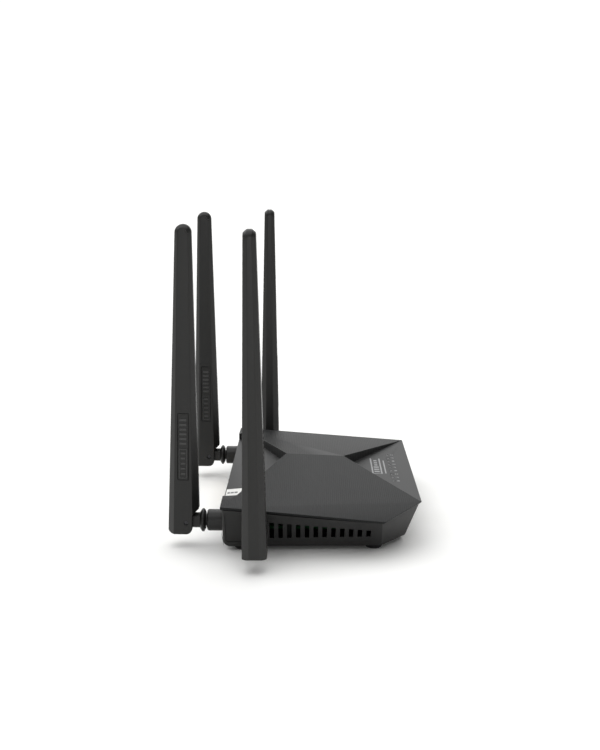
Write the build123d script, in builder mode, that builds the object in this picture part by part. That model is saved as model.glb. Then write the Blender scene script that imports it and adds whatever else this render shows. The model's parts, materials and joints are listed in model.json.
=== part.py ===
"""Wireless router with four folding antennas.

Frame: +Z up, front (status lights) towards -Y, sockets and rear antennas towards +Y, millimetres.
Places on the case are given by x across, v forward of the rear wall and z above the table.
"""
from build123d import *
import os

# ---- board and sockets, whose heights the rear of the cover follows
foot_height = 2.6
floor_thickness = 2.2
board_gap = 3.6              # case floor to the board's underside
board_thickness = 1.6
port_width, port_height, port_depth = 16.0, 13.4, 20.6
port_headroom = 2.2          # sockets to the cover's underside
cover_thickness = 2.2
floor_z = foot_height + floor_thickness
board_z = floor_z + board_gap
board_top = board_z + board_thickness

# ---- case: corner places (x across from the middle, v forward of the rear wall, z above the table)
case_depth = 122.0
side_half = 100.0            # widest point, the edge between the roof and the side wall
rear_edge_z = 31.5           # side edge at the rear wall
nose_x, nose_z = side_half - 23.6, 28.4  # front corner of the roof
shoulder_v, shoulder_z = case_depth - 23.4, 22.8
base_rear_x = side_half - 12.0
base_front_x, base_front_v = side_half - 16.0, case_depth - 25.0
toe_x, toe_v = side_half - 35.0, case_depth - 9.3  # front corner of the underside
ridge_front_v, ridge_front_z = case_depth - 46.1, 36.7
ridge_rear_v, ridge_rear_z = 36.7, 38.3
notch_x, notch_v = side_half - 21.0, 8.0  # corner of the sunk rear field
led_field_z = 29.2           # sunk front field, under the ridge's front end
rear_field_z = board_top + port_height + port_headroom + cover_thickness  # at the rear wall
rear_field_top_z = rear_field_z + 3.4  # under the ridge's rear end
rear_lip_z = rear_field_z + 4.5  # small corner facet, at the rear wall
rear_overhang = 0.7          # cover past the case's rear wall
side_setback = 0.8           # case wall behind the cover's edge
corner_setback = 2.0         # the same along the front corner, measured along each edge
side_undercut, corner_undercut = 1.7, 2.7  # the cover's rim slopes in by this much
wall = 2.2
seam = 0.25                  # shadow line between cover and case
lip_depth = 3.0
lip_thickness = 1.2
lip_clearance = 0.2
lip_rear_gap = 1.5           # lip cut away in front of the sockets
base_radius, rear_base_radius = 2.0, 4.5
loft_top_z = ridge_rear_z + 2.0

# ---- side vents and corner panels
slot_pitch = 5.33
slot_width = 2.7
slot_first_v = 30.0
slot_room = 8.0              # free wall in front of the last slot
slot_count = int((base_front_v - slot_room - slot_first_v) / slot_pitch) + 1
slot_drop = 8.2              # slot tops lie this far under the side edge
slot_low_z, slot_low_rise = 9.0, 0.025  # slot bottoms at the first slot, and their rise towards the front
panel_depth, panel_radius = 0.6, 2.0
panel_v = (1.9, 12.9)
panel_z = (6.0, 26.6)

# ---- antenna: s runs out along the base axis from its seat on the case
axis_z = 16.2
rear_antenna_x = side_half - 22.9
side_antenna_v = 21.1
side_seat_x = side_half - 3.5
fold_leans = {"rear_left": 0.7}    # degrees off upright that the antennas stand at
swivel_leans = {"side_left": 0.65}
barrel_diameter, barrel_length = 13.2, 10.2
barrel_chamfer = 0.8
ring_gap = 0.8
ring_diameter, ring_length = 14.3, 3.6
hub_diameter = 10.4
tongue_height, tongue_thickness = 9.4, 6.8
pin_reach = 8.2              # pin to ring face
pin_diameter = 2.4
paddle_offset = 1.7          # paddle middle to pin
paddle_below, paddle_above = 7.2, 181.5
paddle_base = (14.6, 19.3)   # across, along the base axis
paddle_tip = (7.5, 10.1)     # the same where the domed tip starts
bevel_share = (0.30, 0.20)   # bevel of the octagon as a share of each size
slot_side_clearance = 0.2
swing_clearance = 0.4
turn_clearance = 0.05
spigot_diameter = 7.0
thread_diameter = spigot_diameter + 3.0
seat_depth = 10.0            # case wall with its boss, which the collar passes through
lead_bore = 2.4
nut_flats, nut_length = thread_diameter + 4.0, 2.4
clip_diameter, clip_thickness = thread_diameter - 0.4, 0.8
groove_diameter = spigot_diameter - 1.2
clip_gap = 0.1
spigot_past_clip = 1.2
boss_diameter = 15.6
paddle_wall = 2.2
heel_run = 4.1               # paddle's inner edge beside the knuckle, in from the edge above it
heel_slope = 3.1             # height of the slope between the two
heel_radius, toe_radius = 4.0, 3.2
pin_inset = 1.1              # pin ends under the paddle's cheeks
radiator_width, radiator_thickness, radiator_length = 4.4, 1.0, 128.0
mark_size = (6.4, 41.0)      # sunk plain panel on the paddle's face
mark_low = 27.4
mark_depth = 0.35

# ---- board and what stands on it
board_half, board_rear_v, board_side_v = side_half - 30.0, 3.4, case_depth - 34.0
board_nose_half, board_front_v = side_half - 52.0, case_depth - 13.0
port_size = (port_width, port_depth, port_height)
port_hole = (11.9, 14.4, 7.0)
port_hole_lift = 3.2
port_tab = (6.2, 1.7)
wan_x, lan_first_x, lan_pitch, lan_count = -24.0, 4.0, 16.6, 4
contact_count, contact_pitch, contact_size = 8, 1.02, 0.5
port_clearance = 0.25
mouth_inset = 0.3
jack_size = (9.0, 14.0, 11.0)
jack_x = -60.0
jack_bore_depth, jack_bore_lift, jack_pin_length = 9.5, 6.5, 8.5
jack_bore, jack_pin = 6.4, 2.0
button_x, button_z = -42.0, 14.2
button_diameter, button_stroke, button_proud, button_chamfer = 4.6, 0.6, 1.2, 0.4
button_clearance = 0.08
flange_diameter, flange_thickness, flange_gap = 6.6, 1.0, 0.1
stem_diameter, stem_length = 3.0, 2.3
plunger_diameter, plunger_length, plunger_clearance = 2.6, 2.0, 0.1
switch_size = (6.0, 3.6)
led_count, led_pitch, led_v = 9, 8.1, case_depth - 14.2
led_hole = 1.9
pip_clearance, pip_inset = 0.1, 0.1
guide_bar = (5.0, 2.6)
guide_gap = 0.1
guide_leg = 3.0
led_size = (1.6, 1.6, 0.9)
chips = {                    # x, v and size of each block, by node
    "processor": [(-4.0, 56.0, (14.0, 14.0, 1.2))],
    "memory_chips": [(20.0, 62.0, (13.0, 10.0, 1.1)), (-26.0, 76.0, (6.0, 5.0, 1.0))],
    "network_transformers": [(wan_x, 26.0, (14.0, 9.0, 5.4)), (12.3, 26.0, (16.0, 9.0, 5.4)),
                             (45.5, 26.0, (16.0, 9.0, 5.4))],
    "inductors": [(-42.0, 28.0, (7.0, 7.0, 3.2)), (-6.0, 84.0, (5.0, 5.0, 2.6))],
    "crystal": [(10.0, 78.0, (3.2, 2.5, 0.8))],
}
sink_size, sink_base, sink_v = (26.0, 24.0, 9.0), 2.0, 51.0
fin_count, fin_thickness = 8, 1.2
shield_size, shield_wall, shield_x, shield_v = (28.0, 20.0, 3.2), 0.3, 38.0, 42.0
capacitor_places = ((-56.0, 21.0), (-48.0, 21.0), (-54.0, 30.0))
capacitor_diameter, capacitor_height = 6.3, 8.2
lead_diameter, plug_size, plug_gap = 1.4, (3.0, 3.0, 1.6), 0.05
rear_plug_v, side_plug_v = 46.0, 54.0
lead_ends = 6.0              # straight run of a lead from its spigot
rear_lead_bend, side_lead_bend = (65.0, 38.0, 12.4), (70.0, 44.0, 12.4)

# ---- screws, feet, labels
case_screw_places = ((side_half - 21.0, 40.0), (side_half - 30.0, case_depth - 24.0))
board_screw_places = ((side_half - 36.0, 60.0), (30.0, case_depth - 22.0))
boss_outer, screw_bore, screw_shank = 7.0, 2.6, 2.5
case_screw_reach = 9.0       # into the cover's bosses
recess_share, recess_width = 0.55, 0.9  # cross recess of a screw head
head_diameter, head_thickness, head_clearance = 5.6, 1.8, 0.3
pad_diameter, pad_thickness = 9.0, 1.8
board_post, board_screw_head = 6.0, 5.0
foot_places = ((side_half - 19.0, 12.0), (side_half - 22.5, case_depth - 29.5))
foot_diameter, foot_recess, foot_chamfer = 10.0, 0.6, 0.6
keyhole_x, keyhole_v = 45.0, 62.0
keyhole_head, keyhole_slot, keyhole_travel = 8.0, 4.0, 9.0
keyhole_wall, keyhole_lip, keyhole_depth = 1.4, 1.4, 3.9
label_thickness = 0.15
port_label_size, port_label_x = (16.2, 9.6), 59.6
base_label_size, base_label_v = (62.0, 40.0), 36.0

# ---- worked out from the sizes above
antenna_reach = barrel_length + ring_gap + ring_length + pin_reach + paddle_offset
rear_y = (case_depth - (antenna_reach + paddle_base[1] / 2)) / 2
side_fall = (rear_edge_z - shoulder_z) / shoulder_v
pin_s = barrel_length + ring_gap + ring_length + pin_reach
collar_end = -(seat_depth + nut_length + clip_gap)
spigot_end = collar_end - clip_gap - clip_thickness - spigot_past_clip
port_xs = [wan_x] + [lan_first_x + n * lan_pitch for n in range(lan_count)]


def spot(x, v, z):
    """A point of the case."""
    return Vector(x, rear_y - v, z)


def save(part, name):
    part.label = name
    export_step(part, f"parts/{name}.step")


def lengthened(low, high, z):
    """The point at height z on the line through two corners."""
    t = (z - low[2]) / (high[2] - low[2])
    return tuple(a + (b - a) * t for a, b in zip(low, high))


def outline(z, covering):
    """Corners of the outline at height z: the cover's edge produced, or the case walls behind it."""
    back, side, corner = (-rear_overhang, 0, 0) if covering else (0, side_setback, corner_setback)
    lines = [
        ((base_rear_x, back, foot_height), (side_half - side, back, rear_edge_z)),
        ((base_front_x, base_front_v, foot_height), (side_half - side, shoulder_v - corner, shoulder_z)),
        ((toe_x, toe_v, foot_height), (nose_x - corner, case_depth - side, nose_z)),
    ]
    right = [lengthened(low, high, z) for low, high in lines]
    both = right + [(-x, v, h) for x, v, h in reversed(right)]
    return [(x, rear_y - v) for x, v, h in both]


def tub(inset, low_z, covering=False, rounded=False):
    """Solid inside the walls, from low_z up, its sides moved in by inset."""
    with BuildPart() as body:
        for z in (low_z, loft_top_z):
            with BuildSketch(Plane.XY.offset(z)):
                with BuildLine():
                    Polyline(*outline(z, covering), close=True)
                make_face()
                if inset:
                    offset(amount=-inset, kind=Kind.INTERSECTION)
        loft(ruled=True)
        if rounded:
            fillet(body.edges().group_by(Axis.Z)[0].sort_by(Axis.Y)[-1], radius=rear_base_radius)
            fillet(body.edges().group_by(Axis.Z)[0].sort_by(Axis.Y)[:-1], radius=base_radius)
    return body.part


def facet(a, b, c, drop):
    """Plane through three points of the roof, lowered by drop, facing up."""
    a, b, c = (spot(*p) for p in (a, b, c))
    normal = (b - a).cross(c - a)
    if normal.Z < 0:
        normal = normal * -1
    return Plane(origin=a - Vector(0, 0, drop), z_dir=normal)


ridge_front = (0, ridge_front_v, ridge_front_z)
ridge_rear = (0, ridge_rear_v, ridge_rear_z)
roof_fall = (ridge_rear_z - ridge_front_z) / (ridge_front_v - ridge_rear_v)
roof_side_fall = (ridge_rear_z - roof_fall * (case_depth - ridge_rear_v) - nose_z) / nose_x


def wing_height(x, v):
    return ridge_rear_z - roof_fall * (v - ridge_rear_v) - roof_side_fall * abs(x)


def sunk_field(corners, floor, grow):
    """Cutter for a sunk field of the roof: its plan, grown outwards, above its floor plane."""
    with BuildPart() as cutter:
        with BuildSketch():
            with BuildLine():
                Polyline(*[(x, rear_y - v) for x, v in corners], close=True)
            make_face()
            if grow:
                offset(amount=grow, kind=Kind.INTERSECTION)
        extrude(amount=2 * loft_top_z)
        split(bisect_by=floor, keep=Keep.TOP)
    return cutter.part


def roof(drop, grow=0.0):
    """Block under the faceted roof, lowered by drop, its sunk fields widened by grow."""
    past = 30.0
    reach = (case_depth + past - ridge_front_v) / (case_depth - ridge_front_v)
    front = [(0, ridge_front_v), (nose_x * reach, case_depth + past), (-nose_x * reach, case_depth + past)]
    rear = [(0, ridge_rear_v), (notch_x, notch_v), (notch_x, -past), (-notch_x, -past), (-notch_x, notch_v)]
    front_floor = facet(
        (0, case_depth, nose_z), (1, case_depth, nose_z), (0, ridge_front_v, led_field_z), drop)
    rear_floor = facet((0, 0, rear_field_z), (1, 0, rear_field_z), (0, ridge_rear_v, rear_field_top_z), drop)
    corner_fall = notch_v / (side_half - notch_x)
    with BuildPart() as body:
        with BuildSketch():
            Rectangle(4 * side_half, 4 * side_half)
        extrude(amount=2 * loft_top_z)
        for side in (-1, 1):
            nose = (side * nose_x, case_depth, nose_z)
            edge = (side * side_half, 0, rear_edge_z)
            shoulder = (side * side_half, shoulder_v, shoulder_z)
            notch = (side * notch_x, notch_v, wing_height(notch_x, notch_v))
            lip = (side * notch_x, 0, rear_lip_z)
            corner = [notch, (side * notch_x, -past), (side * (side_half + past), -past)]
            corner.append((side * (side_half + past), -past * corner_fall))
            split(bisect_by=facet(ridge_rear, ridge_front, nose, drop), keep=Keep.BOTTOM)
            split(bisect_by=facet(nose, shoulder, edge, drop), keep=Keep.BOTTOM)
            add(sunk_field([p[:2] for p in corner], facet(notch, lip, edge, drop), 0), mode=Mode.SUBTRACT)
        add(sunk_field(front, front_floor, grow), mode=Mode.SUBTRACT)
        add(sunk_field(rear, rear_floor, grow), mode=Mode.SUBTRACT)
    return body.part


def led_height(v):
    """Surface of the sunk front field."""
    return led_field_z + (nose_z - led_field_z) * (v - ridge_front_v) / (case_depth - ridge_front_v)


roof_outside, roof_inside = roof(0), roof(cover_thickness, cover_thickness)
os.makedirs("parts", exist_ok=True)

# antenna seats on the case: each turns the antenna's own +Y to the way out of the case
antennas = {
    "rear_left": Location(spot(-rear_antenna_x, 0, axis_z)),
    "rear_right": Location(spot(rear_antenna_x, 0, axis_z)),
    "side_left": Location(spot(-side_seat_x, side_antenna_v, axis_z), (0, 0, 90)),
    "side_right": Location(spot(side_seat_x, side_antenna_v, axis_z), (0, 0, -90)),
}
led_xs = [(n - (led_count - 1) / 2) * led_pitch for n in range(led_count)]


def both_sides(places, z):
    return [spot(side * x, v, z) for x, v in places for side in (-1, 1)]


def upright(places, diameter, low, high):
    """Round columns from low to high."""
    with BuildPart() as columns:
        with Locations(*[(p.X, p.Y, low) for p in places]):
            Cylinder(diameter / 2, high - low, align=(Align.CENTER, Align.CENTER, Align.MIN))
    return columns.part


def along_base(where, diameter, start, end):
    """Round bar along an antenna's base axis."""
    with BuildPart() as bar:
        with BuildSketch(Plane.XZ.offset(-start)):
            Circle(diameter / 2)
        extrude(amount=-(end - start))
    return bar.part.moved(where)


def block(x, v, z, size):
    """Box centred on x, starting at v from the rear wall and at height z."""
    with BuildPart() as box:
        with Locations(spot(x, v, z)):
            Box(*size, align=(Align.CENTER, Align.MAX, Align.MIN))
    return box.part


# ---- top cover: a faceted sheet with a locating lip and screw bosses
pad_top = floor_z + pad_thickness
case_screws_at = both_sides(case_screw_places, 0)
with BuildPart() as cover_lip:
    add(tub(wall + lip_clearance, foot_height))
    add(roof(cover_thickness / 2, cover_thickness), mode=Mode.INTERSECT)
    add(roof(cover_thickness + lip_depth, cover_thickness), mode=Mode.SUBTRACT)
    add(tub(wall + lip_clearance + lip_thickness, foot_height), mode=Mode.SUBTRACT)
    lip_cut = wall + lip_clearance + lip_thickness + lip_rear_gap
    add(block(0, -1, foot_height, (2 * side_half, lip_cut, loft_top_z)), mode=Mode.SUBTRACT)
with BuildPart() as cover_bosses:
    add(upright(case_screws_at, boss_outer, pad_top, loft_top_z))
    add(roof(cover_thickness / 2, cover_thickness), mode=Mode.INTERSECT)
with BuildPart() as top_cover:
    add(tub(0, foot_height, covering=True))
    add(roof_outside, mode=Mode.INTERSECT)
    add(roof_inside, mode=Mode.SUBTRACT)
    for side in (-1, 1):
        edge = (side * side_half, 0, rear_edge_z)
        shoulder = (side * side_half, shoulder_v, shoulder_z)
        nose = (side * nose_x, case_depth, nose_z)
        under_edge = (side * (side_half - side_undercut), 0, rear_edge_z - cover_thickness)
        under_nose = (side * nose_x - side * corner_undercut, case_depth - corner_undercut,
                      nose_z - 1.41 * cover_thickness)
        split(bisect_by=facet(edge, shoulder, under_edge, 0), keep=Keep.TOP)
        split(bisect_by=facet(nose, shoulder, under_nose, 0), keep=Keep.TOP)
    add(cover_lip.part)
    add(cover_bosses.part)
    add(upright(case_screws_at, screw_bore, pad_top, pad_top + case_screw_reach + 1), mode=Mode.SUBTRACT)
    led_spots = [spot(x, led_v, 0) for x in led_xs]
    add(upright(led_spots, led_hole, foot_height, loft_top_z), mode=Mode.SUBTRACT)
save(top_cover.part, "top_cover")

# ---- bottom case: floor, walls, antenna bosses, sockets, vents, posts
with BuildPart() as panels:
    for side in (-1, 1):
        with Locations(spot(side * side_half, sum(panel_v) / 2, sum(panel_z) / 2)):
            Box(2 * base_rear_x - side_half, panel_v[1] - panel_v[0], panel_z[1] - panel_z[0])
    fillet(panels.edges().filter_by(Axis.X), radius=panel_radius)
    add(tub(panel_depth, foot_height), mode=Mode.SUBTRACT)
with BuildPart() as vents:
    for n in range(slot_count):
        v = slot_first_v + n * slot_pitch
        high = rear_edge_z - side_fall * v - slot_drop
        low = slot_low_z + slot_low_rise * (v - slot_first_v)
        with Locations(*[spot(side * side_half, v, (low + high) / 2) for side in (-1, 1)]):
            Box(2 * (side_half - board_half - lip_thickness), slot_width, high - low)
with BuildPart() as keyholes:
    for side in (-1, 1):
        slot_middle = spot(side * keyhole_x, keyhole_v - keyhole_travel / 2, 0)
        with BuildSketch(Plane.XY.offset(foot_height)):
            with Locations(spot(side * keyhole_x, keyhole_v, 0)):
                Circle(keyhole_head / 2)
            with Locations(slot_middle):
                SlotCenterToCenter(keyhole_travel, keyhole_slot, rotation=90)
        extrude(amount=keyhole_lip)
        with BuildSketch(Plane.XY.offset(foot_height + keyhole_lip)):
            with Locations(slot_middle):
                SlotCenterToCenter(keyhole_travel, keyhole_head, rotation=90)
        extrude(amount=keyhole_depth - keyhole_lip)
with BuildPart() as keyhole_cups:
    for side in (-1, 1):
        with BuildSketch(Plane.XY.offset(foot_height)):
            with Locations(spot(side * keyhole_x, keyhole_v - keyhole_travel / 2, 0)):
                SlotCenterToCenter(keyhole_travel, keyhole_head + 2 * keyhole_wall, rotation=90)
        extrude(amount=keyhole_depth + keyhole_wall)
port_low = board_top - port_clearance
port_high = board_top + port_size[2] + port_clearance
with BuildPart() as sockets:
    wan_width = port_size[0] + 2 * port_clearance
    lan_width = wan_width + (lan_count - 1) * lan_pitch
    lan_x = lan_first_x + (lan_count - 1) * lan_pitch / 2
    jack_width = jack_size[0] + 2 * port_clearance
    jack_height = jack_size[2] + 2 * port_clearance
    add(block(wan_x, -1, port_low, (wan_width, wall + 2, port_high - port_low)))
    add(block(lan_x, -1, port_low, (lan_width, wall + 2, port_high - port_low)))
    add(block(jack_x, -1, port_low, (jack_width, wall + 2, jack_height)))
    with BuildSketch(Plane.XZ.offset(-(rear_y + 1))):
        with Locations((button_x, button_z)):
            Circle(button_diameter / 2 + button_clearance)
    extrude(amount=wall + 2)
with BuildPart() as bottom_case:
    add(tub(0, foot_height, rounded=True))
    add(roof(cover_thickness + seam, cover_thickness + seam), mode=Mode.INTERSECT)
    add(panels.part, mode=Mode.SUBTRACT)
    add(tub(wall, floor_z), mode=Mode.SUBTRACT)
    for where in antennas.values():
        add(along_base(where, boss_diameter, -seat_depth, 0))
    add(upright(case_screws_at, pad_diameter, foot_height, pad_top))
    add(upright(both_sides(board_screw_places, 0), board_post, foot_height, board_z))
    add(keyhole_cups.part)
    add(keyholes.part, mode=Mode.SUBTRACT)
    for where in antennas.values():
        add(along_base(where, thread_diameter + 2 * turn_clearance, -seat_depth - 1, 1), mode=Mode.SUBTRACT)
    add(vents.part, mode=Mode.SUBTRACT)
    add(sockets.part, mode=Mode.SUBTRACT)
    head_room = head_thickness + head_clearance / 2
    add(upright(case_screws_at, screw_bore, 0, pad_top + 1), mode=Mode.SUBTRACT)
    head_hole = head_diameter + 2 * head_clearance
    add(upright(case_screws_at, head_hole, 0, foot_height + head_room), mode=Mode.SUBTRACT)
    board_screws_at = both_sides(board_screw_places, 0)
    add(upright(board_screws_at, screw_bore, floor_z, board_z + 1), mode=Mode.SUBTRACT)
    feet_at = both_sides(foot_places, 0)
    add(upright(feet_at, foot_diameter, 0, foot_height + foot_recess), mode=Mode.SUBTRACT)
save(bottom_case.part, "bottom_case")

# ---- feet, screws and labels
with BuildPart() as rubber_feet:
    add(upright(feet_at, foot_diameter, 0, foot_height + foot_recess))
    chamfer(rubber_feet.edges().group_by(Axis.Z)[0], length=foot_chamfer)
save(rubber_feet.part, "rubber_feet")


def screws(places, head_low, shank_end, head, upwards):
    """Screws whose head starts at head_low and whose shank ends at shank_end."""
    step = 1 if upwards else -1
    with BuildPart() as group:
        for p in places:
            with BuildSketch(Plane.XY.offset(head_low)):
                with Locations((p.X, p.Y)):
                    Circle(head / 2)
            extrude(amount=step * head_thickness)
            with BuildSketch(Plane.XY.offset(head_low + step * head_thickness)):
                with Locations((p.X, p.Y)):
                    Circle(screw_shank / 2)
            extrude(amount=shank_end - head_low - step * head_thickness)
            with BuildSketch(Plane.XY.offset(head_low)):
                with Locations((p.X, p.Y)):
                    Rectangle(head * recess_share, recess_width)
                    Rectangle(recess_width, head * recess_share)
            extrude(amount=step * head_thickness / 2, mode=Mode.SUBTRACT)
    return group.part


with BuildPart() as case_screws:
    seat = foot_height + head_room - head_thickness
    add(screws(case_screws_at, seat, pad_top + case_screw_reach, head_diameter, True))
save(case_screws.part, "case_screws")
with BuildPart() as board_screws:
    head_top = board_top + head_thickness
    add(screws(board_screws_at, head_top, floor_z + head_clearance, board_screw_head, False))
save(board_screws.part, "board_screws")
with BuildPart() as port_label:
    with BuildSketch():
        with Locations(spot(-port_label_x, 0, 0)):
            Rectangle(*port_label_size, align=(Align.CENTER, Align.MAX))
    extrude(amount=loft_top_z)
    add(roof(-label_thickness, -label_thickness), mode=Mode.INTERSECT)
    add(roof_outside, mode=Mode.SUBTRACT)
save(port_label.part, "port_label")
with BuildPart() as base_label:
    add(block(0, base_label_v, foot_height - label_thickness, (*base_label_size, label_thickness)))
save(base_label.part, "base_label")

# ---- main board and the pieces on it
with BuildPart() as main_board:
    right = [(board_half, board_rear_v), (board_half, board_side_v), (board_nose_half, board_front_v)]
    with BuildSketch(Plane.XY.offset(board_z)):
        with BuildLine():
            corners = right + [(-x, v) for x, v in reversed(right)]
            Polyline(*[(x, rear_y - v) for x, v in corners], close=True)
        make_face()
    extrude(amount=board_thickness)
    add(upright(board_screws_at, screw_bore, board_z - 1, board_top + 1), mode=Mode.SUBTRACT)
save(main_board.part, "main_board")


def port(x):
    """Shielded network socket with its plug hole and latch slot."""
    hole_z = board_top + port_hole_lift
    with BuildPart() as shell:
        add(block(x, mouth_inset, board_top, port_size))
        hole = (port_hole[0], port_hole[1] + 1, port_hole[2])
        add(block(x, mouth_inset - 1, hole_z, hole), mode=Mode.SUBTRACT)
        tab = (port_tab[0], port_hole[1] + 1, port_tab[1] + 1)
        add(block(x, mouth_inset - 1, hole_z - port_tab[1], tab), mode=Mode.SUBTRACT)
    return shell.part


for name, x in zip(["wan_port"] + [f"lan_port_{n + 1}" for n in range(lan_count)], port_xs):
    save(port(x), name)
with BuildPart() as port_contacts:
    contact_z = board_top + port_hole_lift + port_hole[2] - contact_size
    for x in port_xs:
        for n in range(contact_count):
            offset_x = (n - (contact_count - 1) / 2) * contact_pitch
            size = (contact_size, port_hole[1] - 2, contact_size)
            add(block(x + offset_x, mouth_inset + 2, contact_z, size))
save(port_contacts.part, "port_contacts")
with BuildPart() as power_jack:
    add(block(jack_x, mouth_inset, board_top, jack_size))
    with BuildSketch(Plane.XZ.offset(-(rear_y - mouth_inset))):
        with Locations((jack_x, board_top + jack_bore_lift)):
            Circle(jack_bore / 2)
    extrude(amount=jack_bore_depth, mode=Mode.SUBTRACT)
save(power_jack.part, "power_jack")
with BuildPart() as power_jack_pin:
    with BuildSketch(Plane.XZ.offset(-(rear_y - mouth_inset - jack_bore_depth))):
        with Locations((jack_x, board_top + jack_bore_lift)):
            Circle(jack_pin / 2)
    extrude(amount=-jack_pin_length)
save(power_jack_pin.part, "power_jack_pin")


def stepped(sizes, start):
    """Round piece along Y at the button's axis: (diameter, length) steps from v = start inwards."""
    with BuildPart() as piece:
        v = start
        for diameter, length in sizes:
            with BuildSketch(Plane.XZ.offset(-(rear_y - v))):
                with Locations((button_x, button_z)):
                    Circle(diameter / 2)
            extrude(amount=length)
            v += length
    return piece.part


cap_length = button_proud + wall + flange_gap
flange_v = wall + flange_gap
plunger_v = flange_v + flange_thickness + stem_length
switch_v = plunger_v + plunger_length / 2
with BuildPart() as wps_button:
    sizes = [(button_diameter, cap_length), (flange_diameter, flange_thickness), (stem_diameter, stem_length)]
    add(stepped(sizes, -button_proud))
    chamfer(wps_button.edges().group_by(Axis.Y)[-1], length=button_chamfer)
save(wps_button.part, "wps_button")
with BuildPart() as switch_plunger:
    add(stepped([(plunger_diameter, plunger_length)], plunger_v))
save(switch_plunger.part, "switch_plunger")
with BuildPart() as wps_switch:
    switch_height = button_z - board_top + switch_size[0] / 2
    add(block(button_x, switch_v, board_top, (*switch_size, switch_height)))
    bore = plunger_diameter + 2 * plunger_clearance
    add(stepped([(bore, plunger_length / 2 + button_stroke + 0.4)], switch_v), mode=Mode.SUBTRACT)
save(wps_switch.part, "wps_switch")

with BuildPart() as status_leds:
    for x in led_xs:
        add(block(x, led_v - led_size[1] / 2, board_top, led_size))
save(status_leds.part, "status_leds")
with BuildPart() as light_guide:
    bar_top = led_height(led_v) - cover_thickness - guide_gap
    bar_low = bar_top - guide_bar[1]
    leg_low = board_top + led_size[2] + guide_gap
    bar_length = (led_count - 1) * led_pitch + guide_leg + 2
    add(block(0, led_v - guide_bar[0] / 2, bar_low, (bar_length, *guide_bar)))
    add(upright(led_spots, guide_leg, leg_low, bar_low + 1))
    pip_top = led_height(led_v) - pip_inset
    add(upright(led_spots, led_hole - 2 * pip_clearance, bar_top - 1, pip_top))
save(light_guide.part, "light_guide")

for name, pieces in chips.items():
    with BuildPart() as chip_group:
        for x, v, size in pieces:
            add(block(x, v, board_top, size))
    save(chip_group.part, name)
with BuildPart() as heat_sink:
    sink_x = chips["processor"][0][0]
    sink_z = board_top + chips["processor"][0][2][2]
    add(block(sink_x, sink_v, sink_z, (sink_size[0], sink_size[1], sink_base)))
    fin_pitch = (sink_size[0] - fin_thickness) / (fin_count - 1)
    for n in range(fin_count):
        x = sink_x + (n - (fin_count - 1) / 2) * fin_pitch
        add(block(x, sink_v, sink_z, (fin_thickness, sink_size[1], sink_size[2])))
save(heat_sink.part, "heat_sink")
with BuildPart() as rf_shields:
    for side in (-1, 1):
        add(block(side * shield_x, shield_v, board_top, shield_size))
        inside = [length - 2 * shield_wall for length in shield_size[:2]] + [shield_size[2] - shield_wall]
        add(block(side * shield_x, shield_v + shield_wall, board_top, inside), mode=Mode.SUBTRACT)
save(rf_shields.part, "rf_shields")
with BuildPart() as capacitors:
    cans_at = [spot(x, v, 0) for x, v in capacitor_places]
    add(upright(cans_at, capacitor_diameter, board_top, board_top + capacitor_height))
    fillet(capacitors.edges().group_by(Axis.Z)[-1], radius=0.5)
save(capacitors.part, "capacitors")

# ---- antenna leads inside the case, one for each antenna, clipped to plugs beside the shields
lead_z = board_top + plug_size[2] / 2
plug_x = shield_x + shield_size[0] / 2 + 4.0
plug_end_x = plug_x + plug_size[0] / 2
with BuildPart() as antenna_leads:
    for side in (-1, 1):
        rear_route = [
            (rear_antenna_x, -spigot_end + 0.1, axis_z),
            (rear_antenna_x, -spigot_end + lead_ends, axis_z),
            rear_lead_bend,
            (plug_end_x + 4.0, rear_plug_v, lead_z),
            (plug_end_x + plug_gap, rear_plug_v, lead_z),
        ]
        side_route = [
            (side_seat_x + spigot_end - 0.1, side_antenna_v, axis_z),
            (side_seat_x + spigot_end - lead_ends, side_antenna_v, axis_z),
            side_lead_bend,
            (plug_end_x + 4.0, side_plug_v, lead_z),
            (plug_end_x + plug_gap, side_plug_v, lead_z),
        ]
        for route in (rear_route, side_route):
            points = [spot(side * x, v, z) for x, v, z in route]
            first, second = points[0], points[1]
            with BuildLine() as path:
                FilletPolyline(*points, radius=(5.0, 6.0, 3.0))
            with BuildSketch(Plane(origin=first, z_dir=second - first)):
                Circle(lead_diameter / 2)
            sweep(path=path.line)
save(antenna_leads.part, "antenna_leads")
with BuildPart() as lead_plugs:
    for side in (-1, 1):
        for v in (rear_plug_v, side_plug_v):
            add(block(side * plug_x, v - plug_size[1] / 2, board_top, plug_size))
save(lead_plugs.part, "lead_plugs")

# ---- antenna pieces in their own place: seat at the origin, base axis along +Y
with BuildPart() as collar:
    bore = spigot_diameter / 2 + turn_clearance
    barrel = barrel_diameter / 2
    with BuildSketch():
        with BuildLine():
            Polyline(
                (bore, collar_end), (thread_diameter / 2, collar_end), (thread_diameter / 2, 0), (barrel, 0),
                (barrel, barrel_length - barrel_chamfer), (barrel - barrel_chamfer, barrel_length),
                (bore, barrel_length), close=True)
        make_face()
    revolve(axis=Axis.Y)
with BuildPart() as nut:
    with BuildSketch(Plane.XZ.offset(seat_depth)):
        RegularPolygon(nut_flats / 2, 6, major_radius=False, rotation=30)
        Circle(thread_diameter / 2 + turn_clearance, mode=Mode.SUBTRACT)
    extrude(amount=nut_length)
ring_start = barrel_length + ring_gap
ring_end = ring_start + ring_length
with BuildPart() as tongue:
    with BuildSketch(Plane.YZ):
        with BuildLine():
            low = Line((ring_end - 1, -tongue_height / 2), (pin_s, -tongue_height / 2))
            end = RadiusArc(low @ 1, (pin_s, tongue_height / 2), -tongue_height / 2)
            Polyline(end @ 1, (ring_end - 1, tongue_height / 2), low @ 0)
        make_face()
    extrude(amount=tongue_thickness / 2, both=True)
    reach = pin_s + tongue_height
    add(along_base(Location((0, 0, 0)), tongue_height, 0, reach), mode=Mode.INTERSECT)
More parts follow.
